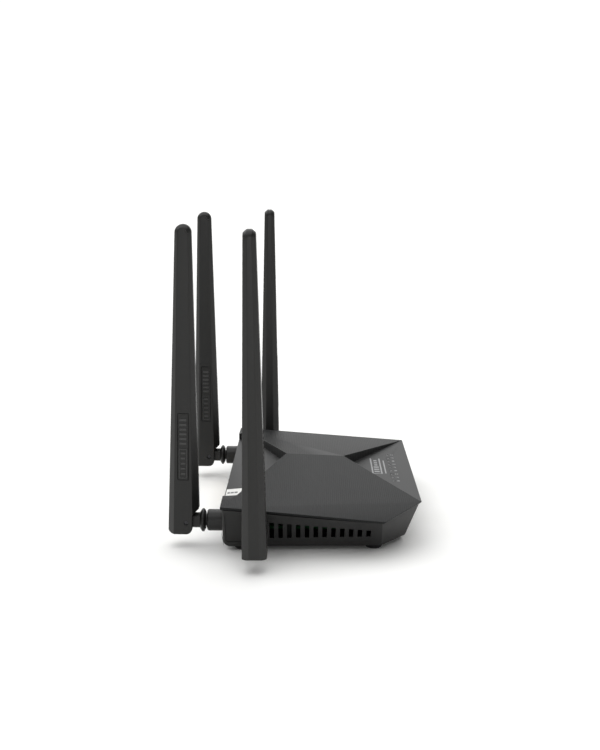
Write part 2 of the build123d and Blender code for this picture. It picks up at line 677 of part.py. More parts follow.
with BuildPart() as knuckle:
    spigot, hub, ring = spigot_diameter / 2, hub_diameter / 2, ring_diameter / 2
    groove_start = collar_end - clip_gap
    groove_end = groove_start - clip_thickness - clip_gap
    groove = groove_diameter / 2
    slope = ring - hub
    with BuildSketch():
        with BuildLine():
            Polyline(
                (0, spigot_end), (spigot, spigot_end), (spigot, groove_end), (groove, groove_end),
                (groove, groove_start), (spigot, groove_start), (spigot, ring_start),
                (hub, ring_start), (ring, ring_start + 0.6 * slope), (ring, ring_end - 0.7 * slope),
                (hub, ring_end), (0, ring_end), close=True)
        make_face()
    revolve(axis=Axis.Y)
    add(tongue.part)
    add(along_base(Location((0, 0, 0)), lead_bore, spigot_end - 1, ring_end + 2), mode=Mode.SUBTRACT)
    with BuildSketch(Plane.YZ):
        with Locations((pin_s, 0)):
            Circle(pin_diameter / 2 + turn_clearance)
    extrude(amount=tongue_thickness, both=True, mode=Mode.SUBTRACT)
with BuildPart() as clip:
    with BuildSketch(Plane.XZ.offset(-(groove_start - clip_gap / 2))):
        Circle(clip_diameter / 2)
        Circle(groove_diameter / 2 + turn_clearance, mode=Mode.SUBTRACT)
        with Locations((0, -clip_diameter / 2)):
            Rectangle(groove_diameter * 0.6, clip_diameter, mode=Mode.SUBTRACT)
    extrude(amount=clip_thickness)
paddle_s = pin_s + paddle_offset


def octagon(across, along):
    """Corners of a paddle section about the origin."""
    x, y = across / 2, along / 2
    bx, by = bevel_share[0] * across, bevel_share[1] * along
    quarter = [(x, y - by), (x - bx, y)]
    half = quarter + [(-a, b) for a, b in reversed(quarter)]
    return half + [(-a, -b) for a, b in half]


tip_radius = paddle_tip[1] / 2
tip_z = paddle_above - tip_radius


def paddle_solid(margin, low, high):
    """Tapered octagonal bar of the paddle's shape, its sides moved in by margin."""
    with BuildPart() as bar:
        for z in (low, high):
            share = (z + paddle_below) / (tip_z + paddle_below)
            across, along = (a + (b - a) * share - 2 * margin for a, b in zip(paddle_base, paddle_tip))
            with BuildSketch(Plane.XY.offset(z)):
                with BuildLine():
                    Polyline(*[(x, y + paddle_s) for x, y in octagon(across, along)], close=True)
                make_face()
        loft(ruled=True)
    return bar.part


with BuildPart() as dome:
    with BuildSketch(Plane.XY.offset(tip_z)):
        with BuildLine():
            Polyline(*[(x, y + paddle_s) for x, y in octagon(*paddle_tip)], close=True)
        make_face()
        with Locations((0, paddle_s)):
            Rectangle(paddle_tip[0], paddle_tip[1], align=(Align.CENTER, Align.MIN), mode=Mode.INTERSECT)
    revolve(axis=Axis((0, paddle_s, tip_z), (1, 0, 0)), revolution_arc=180)
fork_high = tongue_height / 2 + swing_clearance
cavity_low = fork_high + paddle_wall
with BuildPart() as marks:
    with Locations((0, paddle_s, mark_low + mark_size[1] / 2)):
        Box(2 * paddle_base[0], *mark_size)
    add(paddle_solid(mark_depth, 0, tip_z), mode=Mode.SUBTRACT)
with BuildPart() as paddle:
    back_s = paddle_s - paddle_base[1] / 2
    heel = (back_s + heel_run, -paddle_below)
    toe = (paddle_s + paddle_base[1] / 2, -paddle_below)
    add(paddle_solid(0, -paddle_below, tip_z))
    add(dome.part)
    with BuildSketch(Plane.YZ):
        with BuildLine():
            Polyline(
                heel, (heel[0], tongue_height / 2 + swing_clearance),
                (back_s, tongue_height / 2 + swing_clearance + heel_slope),
                (back_s - 1, tongue_height / 2 + swing_clearance + heel_slope),
                (back_s - 1, 2 * paddle_above), (toe[0] + 1, 2 * paddle_above), (toe[0] + 1, 0), toe,
                close=True)
        make_face()
        fillet(vertices().group_by(Axis.Y)[0].sort_by(Axis.X)[0], radius=heel_radius)
        fillet(vertices().group_by(Axis.Y)[0].sort_by(Axis.X)[-1], radius=toe_radius)
    extrude(amount=paddle_base[0], both=True, mode=Mode.INTERSECT)
    fork_width = tongue_thickness + 2 * slot_side_clearance
    fork_depth = pin_s + tongue_height / 2 + swing_clearance
    with Locations((0, 0, -2 * paddle_below)):
        Box(fork_width, fork_depth, fork_high + 2 * paddle_below, align=(Align.CENTER, Align.MIN, Align.MIN),
            mode=Mode.SUBTRACT)
    add(paddle_solid(paddle_wall, cavity_low, tip_z), mode=Mode.SUBTRACT)
    with Locations((0, paddle_s, 0)):
        Cylinder(lead_bore / 2, 2 * cavity_low + 1, mode=Mode.SUBTRACT)
    with BuildSketch(Plane.YZ):
        with Locations((pin_s, 0)):
            Circle(pin_diameter / 2 + turn_clearance / 2)
    extrude(amount=paddle_base[0], both=True, mode=Mode.SUBTRACT)
    add(marks.part, mode=Mode.SUBTRACT)
with BuildPart() as hinge_pin:
    pin_length = paddle_base[0] - 2 * pin_inset
    with BuildSketch(Plane.YZ.offset(-pin_length / 2)):
        with Locations((pin_s, 0)):
            Circle(pin_diameter / 2)
    extrude(amount=pin_length)
with BuildPart() as radiator:
    with Locations((0, paddle_s, cavity_low)):
        Box(radiator_thickness, radiator_width, radiator_length,
            align=(Align.CENTER, Align.CENTER, Align.MIN))

with BuildPart() as antenna_nuts:
    for where in antennas.values():
        add(nut.part.moved(where))
save(antenna_nuts.part, "antenna_nuts")
pieces = {"collar": collar, "knuckle": knuckle, "clip": clip, "paddle": paddle, "pin": hinge_pin,
          "radiator": radiator}
pin_axis = Axis((0, pin_s, 0), (1, 0, 0))
for place, where in antennas.items():
    for piece, made in pieces.items():
        part = made.part
        if piece in ("paddle", "pin", "radiator"):
            part = part.rotate(pin_axis, fold_leans.get(place, 0))
        if piece != "collar":
            part = part.rotate(Axis.Y, swivel_leans.get(place, 0))
        with BuildPart() as fitted:
            add(part.moved(where))
        save(fitted.part, f"{place}_{piece}")
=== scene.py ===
# Black wireless router with four folding antennas: looks and studio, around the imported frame.
import json
from math import atan, cos, pi, radians, sin
import bpy
from mathutils import Matrix, Vector


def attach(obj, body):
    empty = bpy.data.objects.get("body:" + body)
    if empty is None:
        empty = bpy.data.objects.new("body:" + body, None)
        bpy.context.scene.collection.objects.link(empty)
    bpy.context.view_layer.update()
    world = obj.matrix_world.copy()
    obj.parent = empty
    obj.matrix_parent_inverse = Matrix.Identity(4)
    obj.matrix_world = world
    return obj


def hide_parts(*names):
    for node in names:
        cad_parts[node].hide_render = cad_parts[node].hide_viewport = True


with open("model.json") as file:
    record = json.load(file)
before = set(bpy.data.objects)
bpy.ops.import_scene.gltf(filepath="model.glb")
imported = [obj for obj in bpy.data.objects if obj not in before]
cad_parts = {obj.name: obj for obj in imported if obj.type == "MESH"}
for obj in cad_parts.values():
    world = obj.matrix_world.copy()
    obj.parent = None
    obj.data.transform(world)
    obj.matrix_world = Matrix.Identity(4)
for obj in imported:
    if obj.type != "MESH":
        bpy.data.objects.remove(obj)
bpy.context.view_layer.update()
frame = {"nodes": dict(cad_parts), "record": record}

nodes = frame["nodes"]
places = ("rear_left", "rear_right", "side_left", "side_right")
mm = 0.001
print("frame loaded,", len(nodes), "nodes")


# small helpers
def hexToLinear(code):
    channels = [int(code[i:i + 2], 16) / 255 for i in (1, 3, 5)]
    return [c / 12.92 if c < 0.04045 else ((c + 0.055) / 1.055) ** 2.4 for c in channels] + [1.0]


def addNode(tree, kind, inputs=None, feeds=None, stops=(), span=(0.3, 0.7), **settings):
    # feeds is the socket its first output goes to; stops are a ramp's two ends, hex colours or plain numbers
    node = tree.nodes.new(kind)
    for name, value in settings.items():
        setattr(node, name, value)
    for name, value in (inputs or {}).items():
        if isinstance(value, bpy.types.NodeSocket):
            tree.links.new(value, node.inputs[name])
        else:
            node.inputs[name].default_value = value
    for index, value in enumerate(stops):
        element = node.color_ramp.elements[index]
        element.position = span[index]
        element.color = hexToLinear(value) if isinstance(value, str) else (value, value, value, 1)
    if feeds is not None:
        tree.links.new(node.outputs[0], feeds)
    return node


def selectOnly(*pieces):
    if bpy.context.mode != "OBJECT":
        bpy.ops.object.mode_set(mode="OBJECT")
    bpy.ops.object.select_all(action="DESELECT")
    for piece in pieces:
        piece.select_set(True)
    bpy.context.view_layer.objects.active = pieces[0]


def settle(piece, name):
    # place, turn and size go into the mesh, as in the frame's own nodes
    selectOnly(piece)
    bpy.ops.object.transform_apply(location=True, rotation=True, scale=True)
    piece.name = name
    piece.data.name = name
    return piece


def dress(piece, body, slot, material, *replaced):
    piece.data.materials.clear()
    piece.data.materials.append(material)
    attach(piece, body)
    if replaced:
        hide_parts(*replaced)
    return piece


def applyModifier(piece, kind, **settings):
    selectOnly(piece)
    modifier = piece.modifiers.new(kind.title(), kind)
    for name, value in settings.items():
        setattr(modifier, name, value)
    bpy.ops.object.modifier_apply(modifier=modifier.name)


softening = dict(segments=2, sharpFrom=28, merge=0.002, flatWithin=0.4, endOn=0.99)


def softenedCopy(nodeName, name, bevel):
    # a merged copy of a frame node, its hard edges eased as a mould eases them
    sharp = radians(softening["sharpFrom"])
    piece = bpy.data.objects.new(name, nodes[nodeName].data.copy())
    bpy.context.scene.collection.objects.link(piece)
    selectOnly(piece)
    bpy.ops.object.mode_set(mode="EDIT")
    bpy.ops.mesh.select_all(action="SELECT")
    bpy.ops.mesh.remove_doubles(threshold=softening["merge"] * mm)
    bpy.ops.mesh.dissolve_limited(angle_limit=radians(softening["flatWithin"]))
    bpy.ops.mesh.select_all(action="DESELECT")
    bpy.ops.object.mode_set(mode="OBJECT")
    if nodeName in ("top_cover", "power_jack") or "port" in nodeName:
        # stepped ends and ends with a hole fold over themselves unless they are cut into triangles
        for face in piece.data.polygons:
            face.select = abs(face.normal.y) > softening["endOn"]
        bpy.ops.object.mode_set(mode="EDIT")
        bpy.ops.mesh.quads_convert_to_tris(ngon_method="BEAUTY")
        bpy.ops.object.mode_set(mode="OBJECT")
    applyModifier(piece, "BEVEL", width=bevel * mm, segments=softening["segments"], limit_method="ANGLE",
                  angle_limit=sharp, use_clamp_overlap=False, miter_outer="MITER_ARC")
    bpy.ops.object.shade_smooth_by_angle(angle=sharp)
    applyModifier(piece, "WEIGHTED_NORMAL", keep_sharp=True, weight=80)
    return piece


def twin(piece):
    # a second one with its own mesh
    other = piece.copy()
    other.data = piece.data.copy()
    bpy.context.scene.collection.objects.link(other)
    return other


def joined(pieces, name):
    selectOnly(*pieces)
    bpy.ops.object.join()
    return settle(pieces[0], name)


def barPiece(centre, size, bevel, slope=0.0):
    # small bar with eased edges; sizes in millimetres along x, y and z, slope is its rise towards +Y
    bpy.ops.object.select_all(action="DESELECT")
    bpy.ops.mesh.primitive_cube_add(size=1, location=[c * mm for c in centre])
    bar = bpy.context.object
    bar.scale = [s * mm for s in size]
    bar.rotation_euler.x = atan(slope)
    bpy.ops.object.transform_apply(location=True, rotation=True, scale=True)
    bpy.ops.object.mode_set(mode="EDIT")
    bpy.ops.mesh.select_all(action="SELECT")
    bpy.ops.mesh.bevel(offset=bevel * mm, segments=2, affect="EDGES")
    bpy.ops.object.mode_set(mode="OBJECT")
    return bar


def discPiece(centre, radius, height, sides=20):
    # flat round mark with an eased rim; millimetres
    bpy.ops.object.select_all(action="DESELECT")
    bpy.ops.mesh.primitive_cylinder_add(vertices=sides, radius=radius * mm, depth=height * mm,
                                        location=[c * mm for c in centre])
    disc = bpy.context.object
    bpy.ops.object.mode_set(mode="EDIT")
    bpy.ops.mesh.select_all(action="SELECT")
    bpy.ops.mesh.bevel(offset=0.25 * height * mm, segments=2, affect="EDGES")
    bpy.ops.object.mode_set(mode="OBJECT")
    return disc


# materials, each named for what it is and how it was made; the sizes of patterns are millimetres
patchDetail = {"Detail": 2.0, "Roughness": 0.55}
grainDetail = {"Detail": 3.0, "Roughness": 0.55}
fineDetail = {"Detail": 4.0, "Roughness": 0.55}


def surface(name, colour, roughness, specular=0.5, metallic=0.0, **more):
    material = bpy.data.materials.new(name)
    material.use_nodes = True
    tree = material.node_tree
    shader = tree.nodes["Principled BSDF"]
    shader.inputs["Base Color"].default_value = hexToLinear(colour)
    shader.inputs["Roughness"].default_value = roughness
    shader.inputs["Specular IOR Level"].default_value = specular
    shader.inputs["Metallic"].default_value = metallic
    for socket, value in more.items():
        shader.inputs[socket.replace("_", " ")].default_value = value
    place = addNode(tree, "ShaderNodeTexCoord").outputs["Object"]
    return material, tree, shader.inputs, place


plasticLook = dict(patch=28.0, glossier=0.04, duller=0.05, grainDepth=0.03, grainStrength=0.5)


def mouldedPlastic(name, colour, worn, roughness, grain, specular):
    # ABS: spark-eroded tool grain gives a soft sheen, handling leaves faint patches
    look = plasticLook
    material, tree, shader, place = surface(name, colour, roughness, specular)
    patches = addNode(tree, "ShaderNodeTexNoise", {
        "Vector": place, "Scale": 1 / (look["patch"] * mm), **patchDetail})
    addNode(tree, "ShaderNodeValToRGB", {"Fac": patches.outputs["Fac"]}, shader["Base Color"], (colour, worn))
    addNode(tree, "ShaderNodeValToRGB", {"Fac": patches.outputs["Fac"]}, shader["Roughness"],
            (roughness - look["glossier"], roughness + look["duller"]))
    grains = addNode(tree, "ShaderNodeTexNoise", {"Vector": place, "Scale": 1 / (grain * mm), **fineDetail})
    addNode(tree, "ShaderNodeBump", {
        "Height": grains.outputs["Fac"], "Distance": look["grainDepth"] * mm,
        "Strength": look["grainStrength"]}, shader["Normal"])
    return material


coverLook = dict(colour="#1a1b1b", worn="#1e1f1f", roughness=0.47, wingSheen=0.13, fieldSheen=0.33,
                 levelTo=0.02, slopedFrom=0.05, patch=35.0, ribPitch=1.25, ribDepth=0.05, ribStrength=0.6,
                 grain=0.35, grainDepth=0.02, grainStrength=0.4)


def ribbedAbs():
    # moulded ABS with fine ribs across the cover, which break the gloss into a silky sheen
    look = coverLook
    material, tree, shader, place = surface("ribbedAbs", look["colour"], look["roughness"], look["wingSheen"])
    facing = addNode(tree, "ShaderNodeSeparateXYZ",
                     {"Vector": addNode(tree, "ShaderNodeTexCoord").outputs["Normal"]})
    tilt = addNode(tree, "ShaderNodeMath", {0: facing.outputs["X"]}, operation="ABSOLUTE")
    # the sunk fields lie level across the case and are smoother than the wings
    wing = addNode(tree, "ShaderNodeMapRange", {
        "Value": tilt.outputs[0], "From Min": look["levelTo"], "From Max": look["slopedFrom"]})
    addNode(tree, "ShaderNodeMapRange", {
        "Value": wing.outputs["Result"], "To Min": look["fieldSheen"], "To Max": look["wingSheen"]},
        shader["Specular IOR Level"])
    patches = addNode(tree, "ShaderNodeTexNoise", {
        "Vector": place, "Scale": 1 / (look["patch"] * mm), **patchDetail})
    addNode(tree, "ShaderNodeValToRGB", {"Fac": patches.outputs["Fac"]}, shader["Base Color"],
            (look["colour"], look["worn"]))
    axes = addNode(tree, "ShaderNodeSeparateXYZ", {"Vector": place})
    turns = addNode(tree, "ShaderNodeMath", {0: axes.outputs["Y"], 1: 2 * pi / (look["ribPitch"] * mm)},
                    operation="MULTIPLY")
    wave = addNode(tree, "ShaderNodeMath", {0: turns.outputs[0]}, operation="SINE")
    height = addNode(tree, "ShaderNodeMath", {0: wave.outputs[0], 1: wing.outputs["Result"]},
                     operation="MULTIPLY")
    ribs = addNode(tree, "ShaderNodeBump", {
        "Height": height.outputs[0], "Distance": look["ribDepth"] * mm, "Strength": look["ribStrength"]})
    grains = addNode(tree, "ShaderNodeTexNoise", {
        "Vector": place, "Scale": 1 / (look["grain"] * mm), **fineDetail})
    addNode(tree, "ShaderNodeBump", {
        "Height": grains.outputs["Fac"], "Distance": look["grainDepth"] * mm,
        "Strength": look["grainStrength"], "Normal": ribs.outputs["Normal"]}, shader["Normal"])
    return material


guideLook = dict(colour="#6d7272", roughness=0.25, specular=0.3, haze=3.0, clearest=0.2, haziest=0.34)


def clearPolycarbonate():
    # moulded light guide, clear with a slight haze
    look = guideLook
    material, tree, shader, place = surface("clearPolycarbonate", look["colour"], look["roughness"],
                                            look["specular"], Transmission_Weight=0.85, IOR=1.58)
    haze = addNode(tree, "ShaderNodeTexNoise", {
        "Vector": place, "Scale": 1 / (look["haze"] * mm), **grainDetail})
    addNode(tree, "ShaderNodeValToRGB", {"Fac": haze.outputs["Fac"]}, shader["Roughness"],
            (look["clearest"], look["haziest"]))
    return material


boardLook = dict(colour="#0c3a1e", lacquer="#0b3219", track="#155a2f", roughness=0.32, trackPitch=3.2,
                 trackEdge=(0.45, 0.5), trackDepth=0.03, trackStrength=0.3)


def solderMask():
    # glass-epoxy board under green lacquer, with copper tracks just showing through
    look = boardLook
    material, tree, shader, place = surface("solderMask", look["colour"], look["roughness"])
    tracks = addNode(tree, "ShaderNodeTexVoronoi", {"Vector": place, "Scale": 1 / (look["trackPitch"] * mm)},
                     distance="MANHATTAN")
    addNode(tree, "ShaderNodeValToRGB", {"Fac": tracks.outputs["Distance"]}, shader["Base Color"],
            (look["lacquer"], look["track"]), look["trackEdge"])
    addNode(tree, "ShaderNodeBump", {
        "Height": tracks.outputs["Distance"], "Distance": look["trackDepth"] * mm,
        "Strength": look["trackStrength"]}, shader["Normal"])
    return material


metalLook = dict(glossier=0.06, duller=0.1, grainDepth=0.01, grainStrength=0.3)


def metal(name, colour, dull, roughness, grain, stretch=(1, 1, 1)):
    # bare or plated metal: drawing lines where the grain is stretched, a fine even grain elsewhere
    look = metalLook
    material, tree, shader, place = surface(name, colour, roughness, metallic=1.0)
    lines = addNode(tree, "ShaderNodeMapping", {"Vector": place, "Scale": stretch})
    grains = addNode(tree, "ShaderNodeTexNoise", {
        "Vector": lines.outputs["Vector"], "Scale": 1 / (grain * mm), **grainDetail})
    addNode(tree, "ShaderNodeValToRGB", {"Fac": grains.outputs["Fac"]}, shader["Base Color"], (dull, colour))
    addNode(tree, "ShaderNodeValToRGB", {"Fac": grains.outputs["Fac"]}, shader["Roughness"],
            (roughness - look["glossier"], roughness + look["duller"]))
    addNode(tree, "ShaderNodeBump", {
        "Height": grains.outputs["Fac"], "Distance": look["grainDepth"] * mm,
        "Strength": look["grainStrength"]}, shader["Normal"])
    return material


smallPartLook = dict(specular=0.4, grainDepth=0.02, grainStrength=0.4)


def smallPart(name, colour, shade, roughness, grain):
    # small mouldings, fired or pressed bodies and print: two shades in a grain
    look = smallPartLook
    material, tree, shader, place = surface(name, colour, roughness, look["specular"])
    grains = addNode(tree, "ShaderNodeTexNoise", {"Vector": place, "Scale": 1 / (grain * mm), **grainDetail})
    addNode(tree, "ShaderNodeValToRGB", {"Fac": grains.outputs["Fac"]}, shader["Base Color"], (shade, colour))
    addNode(tree, "ShaderNodeBump", {
        "Height": grains.outputs["Fac"], "Distance": look["grainDepth"] * mm,
        "Strength": look["grainStrength"]}, shader["Normal"])
    return material


drawnAlongZ, extrudedAlongY = (1, 1, 0.1), (1, 0.05, 1)
looks = {
    "cover_plastic": ribbedAbs(),
    # the case, antennas, button and jack: near-black mouldings, from dull to satin
    "case_plastic": mouldedPlastic("sparkErodedAbs", "#1f1f1f", "#252524", 0.5, grain=0.45, specular=0.35),
    "antenna_plastic": mouldedPlastic("satinAbs", "#191918", "#1f1f1e", 0.38, grain=0.3, specular=0.34),
    "button_plastic": mouldedPlastic("buttonAbs", "#1f1f20", "#252526", 0.4, grain=0.3, specular=0.3),
    "jack_plastic": mouldedPlastic("nylonJack", "#101011", "#161617", 0.45, grain=0.3, specular=0.3),
    # the lights and their board: cream resin under a hazy guide, on green lacquer
    "clear_plastic": clearPolycarbonate(),
    "led_package": smallPart("ledResin", "#e8e4c6", "#cfc89a", 0.25, grain=0.5),
    "circuit_board": solderMask(),
    # plated and bare metals: bright contacts and pins, greyer cans and sinks, dark screws
    "gold_contact": metal("goldFlash", "#d9b45f", "#b48f45", 0.28, grain=0.3),
    "steel_pin": metal("nickelPlate", "#c9c7c1", "#a9a6a0", 0.28, grain=0.3, stretch=drawnAlongZ),
    "heat_sink_aluminium": metal("extrudedAluminium", "#aeb0b3", "#8d8f92", 0.4, 0.25, extrudedAlongY),
    "shield_can": metal("tinnedSheet", "#c4c4c0", "#a3a39f", 0.38, grain=0.8),
    "capacitor_can": metal("drawnAluminium", "#c8c9cb", "#a5a7aa", 0.3, grain=0.3, stretch=drawnAlongZ),
    "steel_screw": metal("blackZinc", "#4a4a4c", "#333335", 0.42, grain=0.3),
    "radiator_copper": metal("tinnedCopper", "#b98a63", "#8f6848", 0.4, grain=0.4),
    # small bodies on the board and under the case: dull black and grey
    "switch_body": smallPart("phenolicSwitch", "#1a1a1c", "#121213", 0.4, grain=0.4),
    "chip_epoxy": smallPart("chipEpoxy", "#1d1e20", "#131415", 0.55, grain=0.15),
    "ferrite": smallPart("sinteredFerrite", "#3a3a3d", "#2a2a2c", 0.7, grain=0.2),
    "lead_jacket": smallPart("pvcJacket", "#1b1b1b", "#111111", 0.5, grain=0.4),
    "foot_rubber": smallPart("mouldedRubber", "#1a1a1a", "#131313", 0.85, grain=0.2),
    # labels and sockets: off-white film, yellow and blue mouldings
    "paper_label": smallPart("printedFilm", "#e4e4e1", "#d6d6d2", 0.5, grain=0.6),
    "port_shell": smallPart("yellowPbt", "#c9a52a", "#b39023", 0.45, grain=0.3),
    "wan_shell": smallPart("bluePbt", "#2a62a8", "#22528f", 0.45, grain=0.3),
}
slotOf = {row["node"]: row["material_slot"] for row in frame["record"]["subparts"]}
for name, part in nodes.items():
    part.data.materials.clear()
    part.data.materials.append(looks[slotOf[name]])
print("materials on", len(nodes), "nodes")

# eased copies of the mouldings that show: the body each rides on and its edge in millimetres
easing = {"top_cover": ("case", 0.3), "bottom_case": ("case", 0.22), "wps_button": ("button", 0.12)}
for name in ("wan_port", "lan_port_1", "lan_port_2", "lan_port_3", "lan_port_4", "power_jack"):
    easing[name] = ("case", 0.15)
for place in places:
    easing[place + "_collar"] = ("case", 0.25)
    easing[place + "_knuckle"] = (place + "_swivel", 0.2)
    easing[place + "_paddle"] = (place + "_antenna", 0.45)
for name, (body, bevel) in easing.items():
    dress(softenedCopy(name, name + "_eased", bevel), body, slotOf[name], looks[slotOf[name]], name)
print("eased", len(easing), "mouldings")


# printed and raised marks, in millimetres; v runs forward from the rear wall
rearY = 43.925
ink = dict(height=0.08, clear=0.01, edge=0.02)  # drawn thicker than real print, so that it shows
ledRow = dict(count=9, pitch=8.1, iconV=110.9)
ledField = dict(topV=75.9, topZ=29.2, frontV=122.0, frontZ=28.4)
ledFall = (ledField["topZ"] - ledField["frontZ"]) / (ledField["frontV"] - ledField["topV"])
printLook = smallPart("padPrintedInk", "#8f9091", "#838485", 0.6, grain=0.4)  # mid grey, matt


def ledPlace(x, v):
    return x, rearY - v, ledField["topZ"] - ledFall * (v - ledField["topV"]) + ink["clear"]


def onField(x, v, width, depth):
    # thin printed bar lying in the sunk front field
    return barPiece(ledPlace(x, v), (width, depth, ink["height"]), ink["edge"], ledFall)


icon = dict(dot=1.0, width=2.0, depth=1.5, line=0.4,
            stepPitch=0.9, stepWidth=0.45, stepRise=0.7, stepFoot=0.5)


def dotIcon(x, v):
    return [discPiece(ledPlace(x, v), icon["dot"], ink["height"])]


def stepsIcon(x, v):
    # three bars, each taller than the last
    return [onField(x + icon["stepPitch"] * (k - 1), v + icon["stepFoot"] - icon["stepRise"] / 2 * k,
                    icon["stepWidth"], icon["stepRise"] * (k + 1)) for k in range(3)]


def frameIcon(x, v):
    reach, rise = (icon["width"] - icon["line"]) / 2, icon["depth"] / 2
    return [onField(x, v - rise, icon["width"], icon["line"]),
            onField(x, v + rise, icon["width"], icon["line"]),
            onField(x - reach, v, icon["line"], icon["depth"]),
            onField(x + reach, v, icon["line"], icon["depth"])]


icons = []
for n in range(ledRow["count"]):
    makeIcon = (dotIcon, stepsIcon, frameIcon)[n % 3]
    icons += makeIcon((n - (ledRow["count"] - 1) / 2) * ledRow["pitch"], ledRow["iconV"])
dress(joined(icons, "status_icons"), "case", "paper_label", printLook)

panel = dict(left=-16.5, right=22.0, rearV=95.2, frontV=101.2, line=1.0,
             firstBar=5.5, barPitch=5.4, barWidth=3.0, bars=(3.4, 3.4, 3.4, 2.2, 2.2, 2.2),
             underGap=2.7, underLine=0.9, underShift=2.0, underShort=6.0)
middle, width = (panel["left"] + panel["right"]) / 2, panel["right"] - panel["left"]
depth = panel["frontV"] - panel["rearV"]
bars = [onField(middle, panel["rearV"], width, panel["line"]),
        onField(middle, panel["frontV"], width, panel["line"]),
        onField(panel["left"] + panel["line"] / 2, panel["rearV"] + depth / 2, panel["line"], depth)]
for n, tall in enumerate(panel["bars"]):
    x = panel["left"] + panel["firstBar"] + panel["barPitch"] * n
    bars.append(onField(x, panel["rearV"] + depth / 2, panel["barWidth"], tall))
bars.append(onField(middle - panel["underShift"], panel["frontV"] + panel["underGap"],
                    width - panel["underShort"], panel["underLine"]))
dress(joined(bars, "cover_bars"), "case", "paper_label", printLook)
print("cover print made")

# one raised mark per antenna: an outlined frame with rungs below, a column of blocks above
paddle = dict(foot=-7.2, tip=176.45, base=14.6, top=7.5, sunk=0.35, offset=24.5)
relief = dict(lowZ=28.6, frameTop=46.5, topZ=67.0, width=4.6, line=0.5, depth=0.62, edge=0.1, sideBars=4,
              rungs=5, firstRung=2.6, rungPitch=3.2, rungHeight=1.2, rungShort=1.7,
              blockPitch=2.9, blockLift=0.6, blockHeight=1.4, blockShort=0.4)
reliefLook = mouldedPlastic("polishedReliefAbs", "#2b2b2a", "#323231", 0.3, grain=0.3, specular=0.5)


def faceX(height):
    # half the paddle's thickness at a height, less the sunk panel
    share = (height - paddle["foot"]) / (paddle["tip"] - paddle["foot"])
    return (paddle["base"] + (paddle["top"] - paddle["base"]) * share) / 2 - paddle["sunk"]


def reliefBar(height, tall, along, width):
    # bar on the sunk panel of one face, in the antenna's own place with its seat at the origin
    return barPiece((faceX(height), paddle["offset"] + along, height), (relief["depth"], width, tall),
                    relief["edge"])


def reliefModel():
    tall = relief["frameTop"] - relief["lowZ"]
    half = relief["width"] / 2
    marks = [reliefBar(relief["lowZ"], relief["line"], 0, relief["width"]),
             reliefBar(relief["frameTop"], relief["line"], 0, relief["width"])]
    for step in range(relief["sideBars"]):  # short lengths, so that they follow the taper
        height = relief["lowZ"] + tall * (step + 0.5) / relief["sideBars"]
        marks += [reliefBar(height, tall / relief["sideBars"], -half, relief["line"]),
                  reliefBar(height, tall / relief["sideBars"], half, relief["line"])]
    for step in range(relief["rungs"]):
        marks.append(reliefBar(relief["lowZ"] + relief["firstRung"] + relief["rungPitch"] * step,
                               relief["rungHeight"], 0, relief["width"] - relief["rungShort"]))
    count = int((relief["topZ"] - relief["frameTop"]) / relief["blockPitch"])
    for step in range(1, count):
        marks.append(reliefBar(relief["frameTop"] + relief["blockPitch"] * step + relief["blockLift"],
                               relief["blockHeight"], 0, relief["width"] - relief["blockShort"]))
    face = joined(marks, "antennaRelief")
    other = twin(face)
    other.scale = (-1, 1, 1)
    selectOnly(other)
    bpy.ops.object.transform_apply(location=True, rotation=True, scale=True)
    bpy.ops.object.mode_set(mode="EDIT")
    bpy.ops.mesh.select_all(action="SELECT")
    bpy.ops.mesh.normals_make_consistent(inside=False)
    bpy.ops.object.mode_set(mode="OBJECT")
    return joined([face, other], "antennaRelief")


# where each antenna sits in the case, and its turn, fold and swivel at rest in degrees
seats = {
    "rear_left": dict(at=(-77.1, rearY), turn=0, fold=0.7, swivel=0),
    "rear_right": dict(at=(77.1, rearY), turn=0, fold=0, swivel=0),
    "side_left": dict(at=(-96.5, rearY - 21.1), turn=90, fold=0, swivel=0.65),
    "side_right": dict(at=(96.5, rearY - 21.1), turn=-90, fold=0, swivel=0),
}
axisZ, pinReach = 16.2, 22.8
model = reliefModel()
for place, seat in seats.items():
    mark = twin(model)
    toPin = Matrix.Translation((0, pinReach * mm, 0))
    fold = toPin @ Matrix.Rotation(radians(seat["fold"]), 4, "X") @ toPin.inverted()
    mark.matrix_world = (Matrix.Translation((seat["at"][0] * mm, seat["at"][1] * mm, axisZ * mm))
                         @ Matrix.Rotation(radians(seat["turn"]), 4, "Z")
                         @ Matrix.Rotation(radians(seat["swivel"]), 4, "Y") @ fold)
    dress(settle(mark, place + "_relief"), place + "_antenna", "antenna_plastic", reliefLook)
bpy.data.objects.remove(model)
print("antenna relief made")

# rear side: sprung contacts, numbers under the sockets; a contact's path is v and height
socketXs = (-24.0, 4.0, 20.6, 37.2, 53.8)
contact = dict(count=8, pitch=1.02, width=0.42, thick=0.26, path=(
    (13.8, 20.0), (5.4, 19.9), (3.2, 19.0), (2.6, 17.6), (3.0, 17.2), (3.5, 17.5), (4.2, 18.6)))


